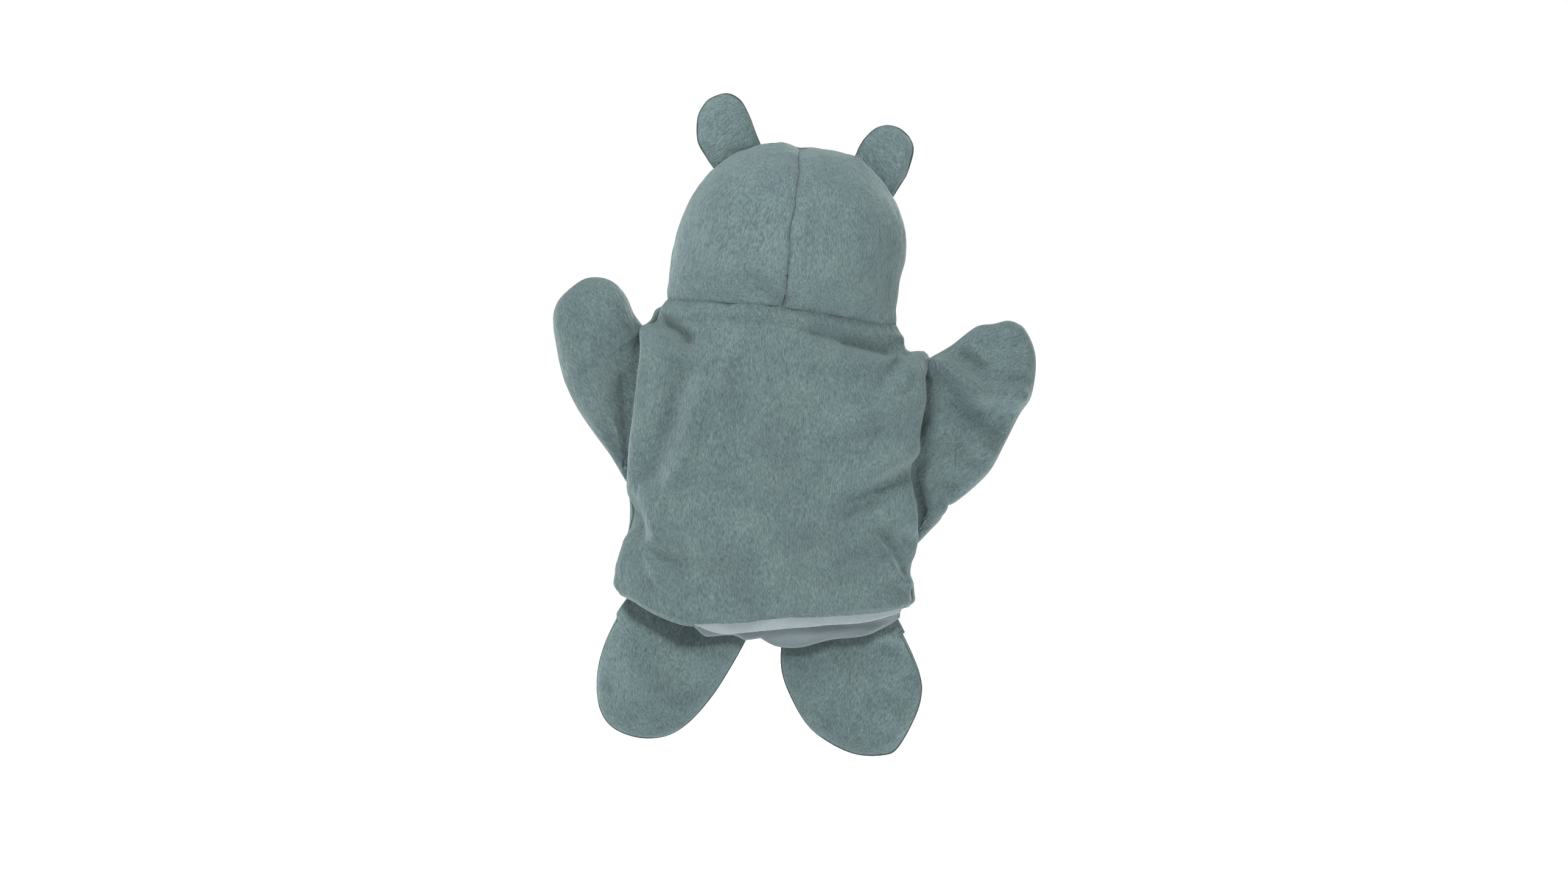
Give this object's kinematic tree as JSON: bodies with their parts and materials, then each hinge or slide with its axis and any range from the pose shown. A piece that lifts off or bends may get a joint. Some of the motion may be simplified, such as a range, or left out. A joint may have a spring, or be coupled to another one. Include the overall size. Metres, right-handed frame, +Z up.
{
  "type": "hand puppet",
  "caption": "Lined plush hand puppet with a nodding stuffed head on an index-finger pocket, soft ears, two finger mitts for arms and stuffed legs that swing from the hem.",
  "frame": {"origin": "middle of the hand opening, at the height of the hem", "axes": "+Z up through the neck to the crown, +Y the way the face looks, +X to the puppet's right side"},
  "size_m": [0.2069, 0.0773, 0.279],
  "materials": {
    "plush": "short pile plush",
    "lining": "smooth tricot knit",
    "binding": "knit tape",
    "filling": "polyester fibre",
    "thread": "embroidery thread",
    "eye": "gloss",
    "washer": "matte"
  },
  "bodies": {
    "torso": {"body_back_panel": "plush", "body_front_panel": "plush", "lining_back": "lining", "lining_front": "lining", "hem_binding": "binding"},
    "head": {"head_back_left_panel": "plush", "head_back_right_panel": "plush", "face_panel": "plush", "head_stuffing": "filling", "finger_pocket": "lining", "neck_lining": "lining", "muzzle_cover": "plush", "muzzle_stuffing": "filling", "nostril_stitching": "thread", "mouth_stitching": "thread", "eye_left": "eye", "eye_right": "eye", "eye_washer_left": "washer", "eye_washer_right": "washer"},
    "ear_left": {"ear_left_back": "plush", "ear_left_front": "plush", "ear_left_padding": "filling"},
    "ear_right": {"ear_right_back": "plush", "ear_right_front": "plush", "ear_right_padding": "filling"},
    "arm_left": {"arm_left_back": "plush", "arm_left_front": "plush", "arm_left_lining_back": "lining", "arm_left_lining_front": "lining"},
    "arm_right": {"arm_right_back": "plush", "arm_right_front": "plush", "arm_right_lining_back": "lining", "arm_right_lining_front": "lining"},
    "leg_left": {"leg_left_back": "plush", "leg_left_front": "plush", "leg_left_stuffing": "filling"},
    "leg_right": {"leg_right_back": "plush", "leg_right_front": "plush", "leg_right_stuffing": "filling"}
  },
  "joints": [
    {"name": "head_nod", "type": "hinge", "parent": "torso", "child": "head", "pos_m": [0, 0, 0.124], "axis": [-1, 0, 0], "range_deg": [-20, 30]},
    {"name": "ear_left_flop", "type": "hinge", "parent": "head", "child": "ear_left", "pos_m": [-0.03135, 0.006, 0.19], "axis": [-0.8194, 0, -0.5732], "range_deg": [-40, 40], "stiffness_Nm_per_rad": 0.004},
    {"name": "ear_right_flop", "type": "hinge", "parent": "head", "child": "ear_right", "pos_m": [0.031, 0.006, 0.1885], "axis": [-0.7516, 0, 0.6597], "range_deg": [-40, 40], "stiffness_Nm_per_rad": 0.004},
    {"name": "arm_left_flap", "type": "hinge", "parent": "torso", "child": "arm_left", "pos_m": [-0.06, 0, 0.079], "axis": [0, 0, -1], "range_deg": [-30, 75]},
    {"name": "arm_right_flap", "type": "hinge", "parent": "torso", "child": "arm_right", "pos_m": [0.06, 0, 0.074], "axis": [0, 0, 1], "range_deg": [-30, 75]},
    {"name": "leg_left_swing", "type": "hinge", "parent": "torso", "child": "leg_left", "pos_m": [-0.03, 0.02, -0.008], "axis": [1, 0, 0], "range_deg": [-50, 90]},
    {"name": "leg_right_swing", "type": "hinge", "parent": "torso", "child": "leg_right", "pos_m": [0.034, 0.02, -0.008], "axis": [1, 0, 0], "range_deg": [-50, 90]}
  ]
}
